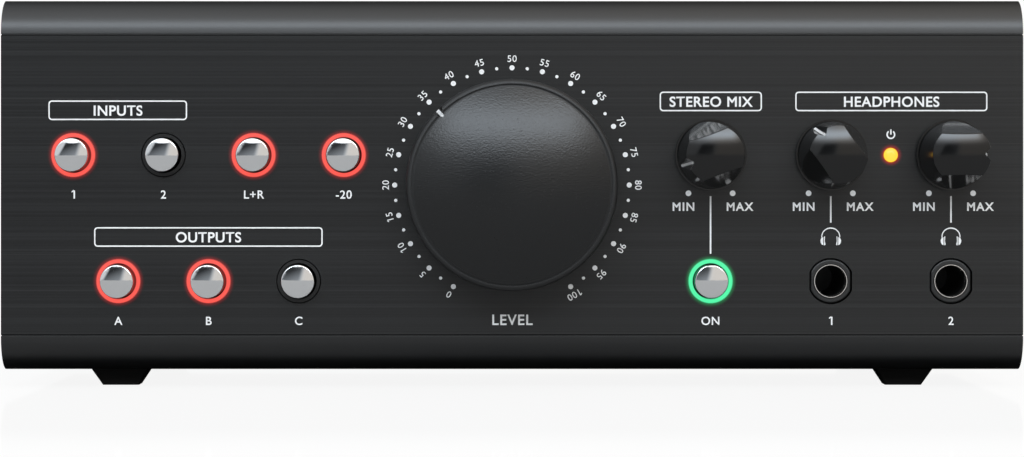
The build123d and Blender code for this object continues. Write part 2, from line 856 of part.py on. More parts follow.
# Small knobs: a skirt, a cone with two flats, and a notch down one end for the pointer.
knob_dome_radius = (knob_top_radius**2 + knob_top_sag**2) / (2 * knob_top_sag)
for name in small_dials:
    x, z, _ = dial_places[name]
    knob_curve = pointer_curve(
        name,
        (knob_top_radius - knob_notch_depth, knob_height + knob_notch_depth),
        (knob_cone_radius, knob_notch_height),
        knob_notch_bend,
    )
    knob_notch = pointer_groove(name, knob_curve, knob_notch_width, knob_notch_depth)
    pointer_start = knob_notch_depth + knob_top_sag + pointer_inset
    knob_bar = pointer_bar(name, knob_curve, knob_pointer_width, pointer_start, knob_pointer_end_gap)
    with BuildPart() as knob:
        with BuildSketch(dial_section(name)):
            with BuildLine():
                Polyline(
                    (0, knob_height),
                    (0, dial_gap),
                    (knob_skirt_radius, dial_gap),
                    (knob_skirt_radius, dial_gap + knob_skirt_height),
                    (knob_cone_radius, dial_gap + knob_skirt_height),
                    (knob_top_radius, knob_height - knob_top_sag),
                    (knob_top_radius, knob_height),
                    close=True,
                )
            make_face()
        revolve(axis=dial_axis(name))
        # the two flats lean in towards the top
        with BuildSketch(side_section(name)):
            for side in (-1, 1):
                with BuildLine():
                    Polyline(
                        (side * knob_cone_radius, dial_gap + knob_flat_height),
                        (side * knob_flat_top, knob_height),
                        (side * knob_cone_radius, knob_height),
                        close=True,
                    )
                make_face()
        extrude(amount=knob_skirt_radius, both=True, mode=Mode.SUBTRACT)
        keep_in_ball(x, z, knob_height, knob_dome_radius)
        fillet(knob.faces().filter_by(GeomType.SPHERE).edges(), knob_edge_round)
        with BuildSketch(dial_plane(name, dial_gap)):
            Circle(nut_corner + nut_clearance)
        extrude(amount=nut_recess_top - dial_gap, mode=Mode.SUBTRACT)
        with BuildSketch(dial_plane(name, dial_gap)):
            Circle(shaft_radius)
        extrude(amount=shaft_top - dial_gap, mode=Mode.SUBTRACT)
        add(knob_notch, mode=Mode.SUBTRACT)
        add(knob_bar, mode=Mode.SUBTRACT)
    save(knob, f"{name}_knob")
    with BuildPart() as pointer:
        add(knob_bar)
    save(pointer, f"{name}_pointer")

# Shafts: round steel, from the knob's hub down into the potentiometer.
for name in dial_places:
    with BuildPart() as shaft:
        with BuildSketch(dial_plane(name, shaft_bottom)):
            Circle(shaft_radius)
        extrude(amount=shaft_top - shaft_bottom)
    save(shaft, f"{name}_shaft")


def potentiometer(name, outline):
    """A body behind the web with a threaded bush through it and three pins to the board."""
    x, z, _ = dial_places[name]
    with BuildPart() as piece:
        with BuildSketch(upright(web_back + pot_depth)):
            with Locations((x, z)):
                add(outline)
        extrude(amount=pot_depth)
        with BuildSketch(upright(web_back)):
            with Locations((x, z)):
                Circle(bush_radius)
        extrude(amount=bezel_web + plate + nut_thickness + bush_proud)
        with BuildSketch(upright(web_back + pot_depth - pot_floor)):
            with Locations((x, z)):
                Circle(shaft_radius + shaft_running_gap)
        extrude(amount=pot_depth + body_depth, mode=Mode.SUBTRACT)
        with BuildSketch(upright(front_board_front)):
            with Locations((x, z)):
                with GridLocations(pot_pin_spacing, pot_pin_spacing, pot_pins, 1):
                    Rectangle(pot_pin_width, pot_pin_width)
        extrude(amount=front_board_front - web_back - pot_depth)
    return piece.part


with BuildSketch() as round_body:
    Circle(volume_pot_radius)
with BuildSketch() as square_body:
    Rectangle(pot_width, pot_width)

with BuildPart() as volume_pot:
    add(potentiometer("volume", round_body.sketch_local))
save(volume_pot, "volume_pot")

with BuildPart() as small_pots:
    for name in small_dials:
        add(potentiometer(name, square_body.sketch_local))
save(small_pots, "small_pots")

# Nuts: one on each bush, against the faceplate, hidden inside the knob.
with BuildPart() as pot_nuts:
    with BuildSketch(upright(front)):
        with Locations(*[(x, z) for x, z, _ in dial_places.values()]):
            RegularPolygon(nut_width / 2, 6, major_radius=False)
            Circle(bush_radius + ring_gap, mode=Mode.SUBTRACT)
    extrude(amount=nut_thickness)
save(pot_nuts, "pot_nuts")

# ------------------------------------------------------------ buttons

switch_mouth = switch_front - front
stem_end = switch_mouth + stem_bite

for name, (x, z) in button_places.items():
    section = Plane(origin=(x, front, z), x_dir=(1, 0, 0), z_dir=(0, 0, -1))
    with BuildPart() as button:
        with BuildSketch(section):
            with BuildLine():
                Polyline(
                    (0, button_height),
                    (0, -stem_end),
                    (stem_radius, -stem_end),
                    (stem_radius, -button_skirt),
                    (button_radius, -button_skirt),
                    (button_radius, button_height),
                    close=True,
                )
            make_face()
        revolve(axis=Axis((x, front, z), (0, -1, 0)))
        keep_in_ball(x, z, button_height, button_dome_radius)
        rims = button.edges().filter_by(GeomType.CIRCLE)
        rims = rims.filter_by(lambda rim: abs(rim.radius - button_radius) < button_edge)
        fillet(rims.sort_by(Axis.Y)[0], button_edge)
    save(button, f"{name}_button")

# Light rings: clear tubes with a flange behind the web.
for colour, names in ring_colours.items():
    with BuildPart() as rings:
        with BuildSketch(upright(web_back)):
            with Locations(*[button_places[name] for name in names]):
                Circle(ring_outer_radius)
                Circle(ring_inner_radius, mode=Mode.SUBTRACT)
        extrude(amount=web_back - front + ring_proud)
        with BuildSketch(upright(web_back + ring_flange_thickness)):
            with Locations(*[button_places[name] for name in names]):
                Circle(ring_flange_radius)
                Circle(ring_inner_radius, mode=Mode.SUBTRACT)
        extrude(amount=ring_flange_thickness)
    save(rings, f"{colour}_light_rings")

# Push switches: boxes on the front board, each with a well for a button's stem.
with BuildPart() as push_switches:
    with BuildSketch(upright(front_board_front)):
        with Locations(*button_places.values()):
            Rectangle(switch_width, switch_width)
    extrude(amount=switch_depth)
    with BuildSketch(upright(switch_front)):
        with Locations(*button_places.values()):
            Circle(stem_radius + stem_gap)
    extrude(amount=-(stem_bite + button_travel + switch_floor_gap), mode=Mode.SUBTRACT)
save(push_switches, "push_switches")

# Power light: a small dome with two leads back to the front board.
with BuildPart() as power_led:
    with BuildSketch(upright(front + power_led_length)):
        with Locations((power_led_x, upper_z)):
            Circle(power_led_radius)
    extrude(amount=power_led_length + power_led_proud)
    fillet(power_led.edges().sort_by(Axis.Y)[0], power_led_dome)
    with BuildSketch(upright(front_board_front)):
        with Locations((power_led_x, upper_z)):
            with GridLocations(lead_spacing, lead_spacing, 2, 1):
                Rectangle(lead_width, lead_width)
    extrude(amount=front_board_front - front - power_led_length)
save(power_led, "power_led")

# ------------------------------------------------------------ headphone sockets

for name, (x, z) in phone_places.items():
    with BuildPart() as jack:
        with BuildSketch(upright(web_back + socket_depth)):
            with Locations((x, z)):
                Rectangle(socket_width, socket_width)
        extrude(amount=socket_depth)
        with BuildSketch(upright(web_back)):
            with Locations((x, z)):
                add(two_flat_disc(phone_nose_gap))
        extrude(amount=web_back - front - phone_nose_inset)
        fillet(jack.faces().sort_by(Axis.Y)[0].edges(), phone_nose_round)
        with BuildSketch(upright(web_back + socket_depth - socket_floor)):
            with Locations((x, z)):
                Circle(socket_bore_radius)
        extrude(amount=body_depth, mode=Mode.SUBTRACT)
        with BuildSketch(upright(front + ferrule_length)):
            with Locations((x, z)):
                Circle(ferrule_radius)
        extrude(amount=ferrule_length, mode=Mode.SUBTRACT)
    save(jack, f"{name}_jack")

# Ferrules: thin bright tubes that line the sockets' mouths.
with BuildPart() as headphone_ferrules:
    with BuildSketch(upright(front + ferrule_length)):
        with Locations(*phone_places.values()):
            Circle(ferrule_radius)
            Circle(socket_bore_radius, mode=Mode.SUBTRACT)
    extrude(amount=ferrule_length)
save(headphone_ferrules, "headphone_ferrules")

# ------------------------------------------------------------ rear sockets


def save_rear_sockets(name, places):
    """Sockets with square bodies inside the rear panel and round noses through it."""
    with BuildPart() as sockets:
        with BuildSketch(upright(panel_front)):
            with Locations(*places):
                Rectangle(socket_width, socket_width)
        extrude(amount=socket_depth)
        with BuildSketch(upright(panel_front)):
            with Locations(*places):
                Circle(nose_radius)
        extrude(amount=-(sheet + nose_reach))
        with BuildSketch(upright(back + nose_reach)):
            with Locations(*places):
                Circle(socket_bore_radius)
        extrude(amount=nose_reach + sheet + socket_depth - socket_floor, mode=Mode.SUBTRACT)
    save(sockets, name)


save_rear_sockets("source_jacks", source_places)
save_rear_sockets("monitor_jacks", monitor_places)

with BuildPart() as rear_jack_nuts:
    with BuildSketch(upright(back)):
        with Locations(*rear_places):
            RegularPolygon(rear_nut_width / 2, 6, major_radius=False)
            Circle(nose_radius + ring_gap, mode=Mode.SUBTRACT)
    extrude(amount=-rear_nut_thickness)
save(rear_jack_nuts, "rear_jack_nuts")

# USB port: a metal shell on the main board, with its tongue inside.
usb_mouth = back + usb_proud
with BuildPart() as usb_port:
    with BuildSketch(upright(usb_mouth)):
        with Locations((usb_x, usb_z)):
            Rectangle(usb_width, usb_height)
    extrude(amount=usb_depth)
    with BuildSketch(upright(usb_mouth)):
        with Locations((usb_x, usb_z)):
            Rectangle(usb_mouth_width, usb_mouth_height)
    extrude(amount=usb_mouth_depth, mode=Mode.SUBTRACT)
    with BuildSketch(upright(usb_mouth - usb_tongue_inset)):
        with Locations((usb_x, usb_z)):
            Rectangle(usb_tongue_width, usb_tongue_height)
    extrude(amount=usb_mouth_depth - usb_tongue_inset)
save(usb_port, "usb_port")

# Power inlet: a block on the main board with a round nose, a bore and a centre pin.
inlet_mouth = back + inlet_proud
with BuildPart() as power_inlet:
    with BuildSketch(upright(panel_front)):
        with Locations((inlet_x, board_top + inlet_height / 2)):
            Rectangle(inlet_width, inlet_height)
    extrude(amount=inlet_depth)
    with BuildSketch(upright(panel_front)):
        with Locations((inlet_x, inlet_z)):
            Circle(inlet_nose_radius)
    extrude(amount=-(inlet_mouth - panel_front))
    with BuildSketch(upright(inlet_mouth)):
        with Locations((inlet_x, inlet_z)):
            Circle(inlet_bore_radius)
    extrude(amount=inlet_bore_depth, mode=Mode.SUBTRACT)
    with BuildSketch(upright(inlet_mouth - inlet_bore_depth)):
        with Locations((inlet_x, inlet_z)):
            Circle(inlet_pin_radius)
    extrude(amount=-(inlet_bore_depth - inlet_pin_inset))
save(power_inlet, "power_inlet")

# Switch frame: a snap-in box with a flange over the rear panel and two pivot holes.
cavity_width = rocker_frame_width - 2 * rocker_frame_wall
cavity_height = rocker_frame_height - 2 * rocker_frame_wall
pivot_y = back - rocker_pivot_depth
with BuildPart() as power_switch_frame:
    with BuildSketch(upright(back)):
        with Locations((rocker_x, rocker_z)):
            Rectangle(rocker_frame_width, rocker_frame_height)
    extrude(amount=rocker_frame_depth)
    with BuildSketch(upright(back)):
        with Locations((rocker_x, rocker_z)):
            RectangleRounded(
                rocker_frame_width + 2 * rocker_frame_lip,
                rocker_frame_height + 2 * rocker_frame_lip,
                rocker_frame_lip / 2,
            )
    extrude(amount=-rocker_frame_flange)
    with BuildSketch(upright(back + rocker_frame_flange)):
        with Locations((rocker_x, rocker_z)):
            Rectangle(cavity_width, cavity_height)
    extrude(
        amount=rocker_frame_flange + rocker_frame_depth - rocker_frame_wall,
        mode=Mode.SUBTRACT,
    )
    with BuildSketch(Plane.YZ.offset(rocker_x)):
        with Locations((pivot_y, rocker_z)):
            Circle(rocker_pin_radius + shaft_running_gap)
    extrude(amount=rocker_frame_width, both=True, mode=Mode.SUBTRACT)
save(power_switch_frame, "power_switch_frame")

# Rocker: a shallow valley between two faces, on two pins; its lower half is pressed in.
rocker_half = cavity_height / 2 - rocker_end_gap
rocker_valley = rocker_pivot_depth + rocker_rise
rocker_end = rocker_valley + rocker_half * tan(radians(rocker_tilt))
rocker_width = cavity_width - 2 * rocker_gap
rocker_plane = Plane(
    origin=(rocker_x, pivot_y, rocker_z),
    x_dir=(0, sin(radians(rocker_tilt)), cos(radians(rocker_tilt))),
    z_dir=(-1, 0, 0),
)
with BuildPart() as power_rocker:
    with BuildSketch(rocker_plane):
        with BuildLine():
            Polyline(
                (-rocker_half, -rocker_below_pivot),
                (rocker_half, -rocker_below_pivot),
                (rocker_half, rocker_end),
                (0, rocker_valley),
                (-rocker_half, rocker_end),
                close=True,
            )
        make_face()
    extrude(amount=rocker_width / 2, both=True)
    with BuildSketch(rocker_plane):
        Circle(rocker_pin_radius)
    extrude(amount=rocker_width / 2 + rocker_gap + rocker_pin_bite, both=True)
save(power_rocker, "power_rocker")
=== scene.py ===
"""A studio monitor controller: the finish of every piece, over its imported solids. Metres."""

import math

import bmesh
import bpy
from mathutils import Matrix, Vector


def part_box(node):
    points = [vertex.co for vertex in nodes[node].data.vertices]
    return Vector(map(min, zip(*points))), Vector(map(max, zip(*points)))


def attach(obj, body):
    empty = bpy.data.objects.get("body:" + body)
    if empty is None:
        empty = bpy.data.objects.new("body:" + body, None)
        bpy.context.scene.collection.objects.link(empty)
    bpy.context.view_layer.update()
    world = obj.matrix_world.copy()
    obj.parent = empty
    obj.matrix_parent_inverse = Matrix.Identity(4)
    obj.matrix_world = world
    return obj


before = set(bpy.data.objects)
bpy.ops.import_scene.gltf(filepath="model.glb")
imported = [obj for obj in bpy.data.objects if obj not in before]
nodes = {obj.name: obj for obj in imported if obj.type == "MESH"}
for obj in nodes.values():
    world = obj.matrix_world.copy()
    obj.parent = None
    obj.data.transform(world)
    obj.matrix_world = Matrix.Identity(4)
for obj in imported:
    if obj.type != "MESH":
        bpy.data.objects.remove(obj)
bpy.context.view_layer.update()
mm = 0.001

# ---------------------------------------------------------------- camera
# A long lens stands straight in front of the faceplate, level with its middle, and
# the frame is shifted so that the case sits above the middle of the picture.

plate_low, plate_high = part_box("faceplate")
face = plate_low.y
middle = (plate_low.z + plate_high.z) / 2
case_width = plate_high.x - plate_low.x
camera_distance = 634 * mm
frame_width_px = 1024
case_width_px = 1022.3
case_above_middle_px = 43.45

lens = bpy.data.cameras.new("long_lens")
lens.sensor_width = 36
lens.lens = lens.sensor_width * camera_distance * case_width_px / (case_width * frame_width_px)
lens.shift_y = -case_above_middle_px / frame_width_px
camera = bpy.data.objects.new("camera", lens)
camera.location = (0, face - camera_distance, middle)
camera.rotation_euler = (math.pi / 2, 0, 0)
bpy.context.scene.collection.objects.link(camera)
bpy.context.scene.camera = camera
bpy.context.scene.view_settings.view_transform = "Standard"

# ---------------------------------------------------------------- studio
# A pale room with a wide softbox before the case and above it, a dark card at the height
# of the case in front, and a dark flag behind, which end the light on the rolled edges.


class Wire:
    """A socket in a node tree: arithmetic on it adds Math nodes, and add() any other node."""

    def __init__(self, tree, socket=None):
        self.tree = tree
        self.socket = socket

    def add(self, kind, settings=None, inputs=None, output=None):
        """Adds a node, sets its settings, then its inputs, and gives the named output."""
        node = self.tree.nodes.new(kind)
        for name, value in (settings or {}).items():
            setattr(node, name, value)
        for name, value in (inputs or {}).items():
            named = [each for each in node.inputs if each.enabled and each.name == name]
            socket = node.inputs[name] if isinstance(name, int) else named[0]
            if isinstance(value, Wire):
                self.tree.links.new(value.socket, socket)
            else:
                socket.default_value = value
        shown = [each for each in node.outputs if each.enabled and output in (None, each.name)]
        return Wire(self.tree, shown[0] if shown else None)

    def also(self, output):
        """Another output of the same node."""
        return Wire(self.tree, self.socket.node.outputs[output])

    def maths(self, operation, *values):
        return self.add("ShaderNodeMath", {"operation": operation}, dict(enumerate(values)))

    def __add__(self, other):
        return self.maths("ADD", self, other)

    def __sub__(self, other):
        return self.maths("SUBTRACT", self, other)

    def __rsub__(self, other):
        return self.maths("SUBTRACT", other, self)

    def __mul__(self, other):
        return self.maths("MULTIPLY", self, other)

    __radd__ = __add__
    __rmul__ = __mul__


def rise(value, start, end):
    """Goes softly from 0 where the value is at start to 1 where it is at end."""
    ends = {"Value": value, "From Min": start, "From Max": end}
    return value.add("ShaderNodeMapRange", {"interpolation_type": "SMOOTHSTEP"}, ends)


def mix(share, first, second):
    """The first colour, and the second one where the share is 1."""
    ends = {"Factor": share, "A": first, "B": second}
    return share.add("ShaderNodeMix", {"data_type": "RGBA"}, ends)


def grey(level):
    return (level, level, level, 1.0)


wall_level = 0.63
ceiling_level = 0.57
flag_level = 0.07
softbox_rim = 1.0
softbox_middle = 8.3
overhead_glow = 0.9

# the card ends and the lights above it begin between these heights, in degrees
horizon = (15.6, 16.8)


def room_light(sky):
    """The light of the room in each direction, as seen by everything but the camera. All
    angles are in degrees: height above the level, bearing to the side of straight ahead,
    and pitch from straight ahead over the top to the back."""
    degrees = 180 / math.pi
    toward = sky.add("ShaderNodeTexCoord", output="Generated")
    x = sky.add("ShaderNodeSeparateXYZ", inputs={0: toward}, output="X")
    ahead = x.also("Y") * -1
    height = sky.maths("ARCSINE", x.also("Z")) * degrees
    bearing = sky.maths("ARCTAN2", x, ahead) * degrees
    pitch = sky.maths("ARCTAN2", x.also("Z"), ahead) * degrees
    aside = sky.maths("ABSOLUTE", bearing)
    above = rise(height, *horizon)
    softbox = above * rise(aside, 46, 30)
    panel = rise(height, 17, 28.5) * rise(height, 45.5, 29.5)
    overhead = rise(pitch, 114, 68) * above * rise(sky.maths("ABSOLUTE", x), 0.85, 0.5)
    card_left = rise(bearing - height * 0.55, -26.5, -23)
    card_right = rise(bearing - height * 0.25, 3.5, -4.5)
    card = card_left * card_right * (1 - above)
    card_level = sky.maths("MAXIMUM", 0.292 + bearing * 0.0065 - height * 0.0148, 0.03)
    behind = rise(aside, 150, 165) * rise(height, 3, 15) * rise(height, 76, 45)
    level = wall_level + rise(height, 10, 80) * (ceiling_level - wall_level)
    level = level + overhead * overhead_glow
    level = level + behind * (flag_level - level)
    level = level + card * (card_level - level)
    box_level = softbox_rim + panel * (softbox_middle - softbox_rim)
    level = level + softbox * sky.maths("MAXIMUM", box_level - level, 0.0)
    walls = mix(rise(bearing, -12, 12), (0.96, 1.0, 1.04, 1.0), (1.07, 1.01, 0.94, 1.0))
    cool = mix(card, walls, (0.92, 1.0, 1.08, 1.0))
    tint = mix(softbox * panel, cool, (0.88, 0.98, 1.08, 1.0))
    return sky.add("ShaderNodeBackground", inputs={"Color": tint, "Strength": level})


world = bpy.data.worlds.new("studio")
world.use_nodes = True
world.node_tree.nodes.clear()
bpy.context.scene.world = world
sky = Wire(world.node_tree)
white = sky.add("ShaderNodeBackground", inputs={"Color": grey(1.0), "Strength": 1.0})
seen = sky.add("ShaderNodeLightPath", output="Is Camera Ray")
room = sky.add("ShaderNodeMixShader", inputs={0: seen, 1: room_light(sky), 2: white})
sky.add("ShaderNodeOutputWorld", inputs={"Surface": room})

# ---------------------------------------------------------------- floor
# To the case it has a painted shade underneath, a dark patch where the light of the
# room doesn't reach, and to the camera it has painted light, a little brighter in
# front of the case.

floor_reach = 12.0
floor_shade = 0.37
painted_under_shade = 0.02
painted_shade_reach = 110 * mm
floor_mesh = bpy.data.meshes.new("floor")
corners = [(-floor_reach, -floor_reach, 0), (floor_reach, -floor_reach, 0)]
corners += [(floor_reach, floor_reach, 0), (-floor_reach, floor_reach, 0)]
floor_mesh.from_pydata(corners, [], [(0, 1, 2, 3)])
floor = bpy.data.objects.new("floor", floor_mesh)
bpy.context.scene.collection.objects.link(floor)


def new_finish(name):
    """An empty material, and a wire to start its nodes from."""
    finish = bpy.data.materials.new(name)
    finish.use_nodes = True
    finish.node_tree.nodes.clear()
    return finish, Wire(finish.node_tree)


def along(start, axis):
    """How far along an axis of the frame the surface lies."""
    place = start.add("ShaderNodeTexCoord", output="Object")
    return start.add("ShaderNodeSeparateXYZ", inputs={0: place}, output=axis)


table_top, start = new_finish("table_top")
behind_face = along(start, "Y") - face
# painted shade: a dark patch on the floor under the case, seen by everything but the camera
painted_shade_mask = rise(behind_face, -3 * mm, 2 * mm)
painted_shade_mask = painted_shade_mask * rise(behind_face, painted_shade_reach + 5 * mm, painted_shade_reach - 5 * mm)
shade = mix(painted_shade_mask, grey(floor_shade), grey(painted_under_shade))
matte = start.add("ShaderNodeBsdfDiffuse", inputs={"Color": shade})
shadowed = start.add("ShaderNodeBsdfDiffuse", inputs={"Color": grey(0.04)})
# painted light: to the camera the floor glows a little dimmer near the case and full white further
# in front
painted_floor_light = mix(rise(behind_face, -100 * mm, -150 * mm), grey(0.955), grey(1.0))
bright = start.add("ShaderNodeEmission", inputs={"Color": painted_floor_light, "Strength": 1.0})
sheen = start.add("ShaderNodeBsdfGlossy", inputs={"Color": grey(1.0), "Roughness": 0.06})
pale = start.add("ShaderNodeAddShader", inputs={0: shadowed, 1: bright})
polished = start.add("ShaderNodeMixShader", inputs={0: 0.06, 1: pale, 2: sheen})
seen = start.add("ShaderNodeLightPath", output="Is Camera Ray")
table = start.add("ShaderNodeMixShader", inputs={0: seen, 1: matte, 2: polished})
start.add("ShaderNodeOutputMaterial", inputs={"Surface": table})
floor_mesh.materials.append(table_top)

# ---------------------------------------------------------------- front bezel
# An aluminium moulding with rolled long edges, sprayed in a smooth satin charcoal. The
# cover, the tray and the faceplate all meet it, and screws in its lugs hold them.


def surface(start, inputs):
    """Closes a material: a Principled shader with these inputs, on the output."""
    principled = start.add("ShaderNodeBsdfPrincipled", inputs=inputs)
    start.add("ShaderNodeOutputMaterial", inputs={"Surface": principled})


def spots(start, size, detail=2.0, stretch=(1, 1, 1)):
    """Cloudy noise from 0 to 1 with spots of about this size, stretched along an axis."""
    place = start.add("ShaderNodeTexCoord", output="Object")
    scale = tuple(1 / (size * each) for each in stretch)
    spread = start.add("ShaderNodeVectorMath", {"operation": "MULTIPLY"}, {0: place, 1: scale})
    options = {"Vector": spread, "Scale": 1.0, "Detail": detail}
    return start.add("ShaderNodeTexNoise", inputs=options, output="Fac")


def bumps(start, height, depth):
    """A normal for Principled: relief of this depth where the height goes from 0 to 1."""
    relief = {"Strength": 1.0, "Distance": depth, "Height": height}
    return start.add("ShaderNodeBump", inputs=relief)


def dress(finish, *names):
    """Gives the named solids this finish."""
    for name in names:
        for slot in nodes[name].material_slots:
            slot.material = finish


def satin_paint():
    """Sprayed paint: even charcoal with a faint orange peel."""
    finish, start = new_finish("satin_paint")
    cloud = spots(start, 9 * mm)
    peel = spots(start, 0.5 * mm)
    surface(start, {
        "Base Color": mix(cloud, (0.0022, 0.0024, 0.0026, 1), (0.0036, 0.0038, 0.004, 1)),
        "Roughness": 0.35 + peel * 0.04,
        "Specular IOR Level": 0.62,
        "Normal": bumps(start, peel, 0.003 * mm),
    })
    return finish


dress(satin_paint(), "front_bezel")

# A thin bead of the same paint closes the joint between the moulding and the faceplate.
joint = 0.15 * mm
bead_depth = 1.0 * mm
bead_below = 0.03 * mm
bead_shape = bmesh.new()
for low, high in ((plate_high.z, plate_high.z + joint), (plate_low.z - joint, plate_low.z)):
    bar = bmesh.ops.create_cube(bead_shape, size=1.0)["verts"]
    size = Vector((case_width - 2 * joint, bead_depth, high - low))
    centre = Vector((0, face + bead_below + bead_depth / 2, (low + high) / 2))
    bmesh.ops.transform(bead_shape, matrix=Matrix.LocRotScale(centre, None, size), verts=bar)
bmesh.ops.bevel(bead_shape, geom=bead_shape.edges[:], offset=0.03 * mm, segments=2, affect="EDGES")
bead_mesh = bpy.data.meshes.new("joint_bead")
bead_shape.to_mesh(bead_mesh)
bead_shape.free()
bead = bpy.data.objects.new("joint_bead", bead_mesh)
bpy.context.scene.collection.objects.link(bead)
bead_mesh.materials.append(bpy.data.materials["satin_paint"])
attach(bead, "root")

# ---------------------------------------------------------------- light rings
# Clear rings round the buttons, lit from behind by lamps on the front board: red and
# green ones that are on, and two that are off and take the shade of the plate. A dark
# line of painted shade at each ring's inner and outer rim stands for the gaps round it.

ring_inner = 3.75 * mm
ring_outer = 4.68 * mm
lit_red = (1.0, 0.107, 0.084, 1)
lit_green = (0.092, 0.956, 0.413, 1)


def middle_of(name):
    low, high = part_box(name)
    return (low + high) / 2


def radius_about(start, centre):
    """The distance from a front-to-back axis through the centre."""
    place = start.add("ShaderNodeTexCoord", output="Object")
    offset = start.add("ShaderNodeVectorMath", {"operation": "SUBTRACT"}, {0: place, 1: centre})
    flat = start.add("ShaderNodeVectorMath", {"operation": "MULTIPLY"}, {0: offset, 1: (1, 0, 1)})
    return start.add("ShaderNodeVectorMath", {"operation": "LENGTH"}, {0: flat}, output="Value")


buttons = ["source_1", "source_2", "mono", "dim"]
buttons += ["monitor_a", "monitor_b", "monitor_c", "crossfeed"]
button_at = {name: middle_of(f"{name}_button") for name in buttons}
ring_colour = {"red": lit_red, "green": lit_green, "dark": None}
rings_of = {
    "red": ["source_1", "mono", "dim", "monitor_a", "monitor_b"],
    "dark": ["source_2", "monitor_c"],
    "green": ["crossfeed"],
}


def nearest(start, centres):
    """The distance from the nearest of several front-to-back axes."""
    distance = radius_about(start, centres[0])
    for centre in centres[1:]:
        distance = start.maths("MINIMUM", distance, radius_about(start, centre))
    return distance


for state, colour in ring_colour.items():
    finish, start = new_finish(f"{state}_ring")
    distance = nearest(start, [button_at[name] for name in rings_of[state]])
    grain = spots(start, 0.6 * mm)
    # painted shade: face_on falls to 0 at the ring's inner rim, a dark line for the gap round the
    # cap
    face_on = rise(distance, ring_inner + 0.02 * mm, ring_inner + 0.12 * mm)
    if colour:
        # painted shade: the emission darkens towards the outer rim, a dark line for the gap in the
        # hole
        inside = rise(distance, ring_outer, ring_outer - 0.14 * mm)
        painted_rim_shade = tuple(0.2 * each for each in colour[:3]) + (1,)
        surface(start, {
            "Base Color": mix(grain, grey(0.004), grey(0.008)),
            "Roughness": 0.5,
            "Specular IOR Level": 0.2,
            "Emission Color": mix(face_on * (0.25 + inside * 0.75), painted_rim_shade, colour),
            "Emission Strength": 1.0,
        })
    else:
        # painted shade: outside its clear face the ring is black metal that reflects nothing, a
        # dark outline at both rims
        clear = face_on * rise(distance, ring_outer - 0.1 * mm, ring_outer - 0.24 * mm)
        surface(start, {
            "Base Color": mix(clear, grey(0.0003), mix(grain, grey(0.003), grey(0.006))),
            "Metallic": 1 - clear,
            "Roughness": 0.28,
            "Specular IOR Level": 0.54,
        })
    dress(finish, f"{state}_light_rings")

# ---------------------------------------------------------------- faceplate
# A brushed dark sheet let flush into the bezel, with fine lines along its length. A
# painted glow of the lit rings and the power light lies on it, in its emission.

led_at = middle_of("power_led")
led_radius = 1.63 * mm


def brushed_plate():
    """Fine level brush lines of uneven strength, and a painted glow of the lights on them."""
    finish, start = new_finish("brushed_plate")
    fine = spots(start, 0.3 * mm, stretch=(6000, 1, 1))
    broad = spots(start, 3 * mm, detail=1.0, stretch=(900, 1, 1))
    scratches = rise(spots(start, 0.5 * mm, detail=0.0, stretch=(4000, 1, 1)), 0.68, 0.8)
    lines = rise(fine * 0.8 + broad * 0.2, 0.32, 0.68)
    # painted light: the glow of the lit rings and the power light on the plate is painted into its
    # emission
    painted_glow_reach = 1.15 * mm
    painted_glows = {}
    for colour in ("red", "green"):
        distance = nearest(start, [button_at[name] for name in rings_of[colour]])
        painted_glow = rise(distance, ring_outer + painted_glow_reach, ring_outer - 0.3 * mm)
        painted_glows[colour] = painted_glow * painted_glow
    painted_lamp_glow = rise(radius_about(start, led_at), led_radius + painted_glow_reach, led_radius - 0.2 * mm)
    red = mix(painted_glows["red"] + painted_lamp_glow * painted_lamp_glow, grey(0.0), (0.24, 0.01, 0.012, 1))
    brushed = mix(lines, (0.001, 0.0011, 0.0012, 1), (0.0072, 0.0076, 0.008, 1))
    surface(start, {
        "Base Color": mix(scratches, brushed, grey(0.02)),
        "Roughness": 0.275 + lines * 0.02,
        "Specular IOR Level": 0.56,
        "Normal": bumps(start, fine, 0.002 * mm),
        "Emission Color": mix(painted_glows["green"], red, (0.012, 0.25, 0.075, 1)),
        "Emission Strength": 1.0,
    })
    return finish


dress(brushed_plate(), "faceplate")

# ---------------------------------------------------------------- print
# White ink, screened on the brushed sheet: frames with words, captions, the scale of
# the large dial with its dots, end marks of the small dials, lines and pictograms.

ink_depth = 0.02 * mm
frame_line = 0.28 * mm
frame_height = 4.15 * mm
frame_corner = 0.75 * mm
title_height = 2.3 * mm
caption_height = 1.85 * mm
capital = 0.729  # how high the typeface draws a capital
flag_reach = 0.22  # how far the flag of a 1 reaches, as a share of its height


def embolden(mesh, weight):
    """Moves the outlines of flat letters outward by this much."""
    letters = bmesh.new()
    letters.from_mesh(mesh)
    bmesh.ops.remove_doubles(letters, verts=letters.verts, dist=1e-6)
    moves = {}
    for vertex in letters.verts:
        outward = []
        for edge in vertex.link_edges:
            if edge.is_boundary:
                run = edge.other_vert(vertex).co - vertex.co
                across = Vector((run.y, -run.x, 0)).normalized()
                inside = edge.link_faces[0].calc_center_median() - vertex.co
                outward.append(-across if across.dot(inside) > 0 else across)
        if len(outward) == 2:
            first, second = outward
            moves[vertex] = (first + second) * weight / max(1 + first.dot(second), 0.4)
    for vertex, move in moves.items():
        vertex.co += move
    letters.to_mesh(mesh)
    letters.free()


def arc(radius, first, last, steps):
    """Points on a circle, from one angle in degrees to another."""
    angles = [math.radians(first + (last - first) * i / steps) for i in range(steps + 1)]
    return [(radius * math.cos(a), radius * math.sin(a)) for a in angles]


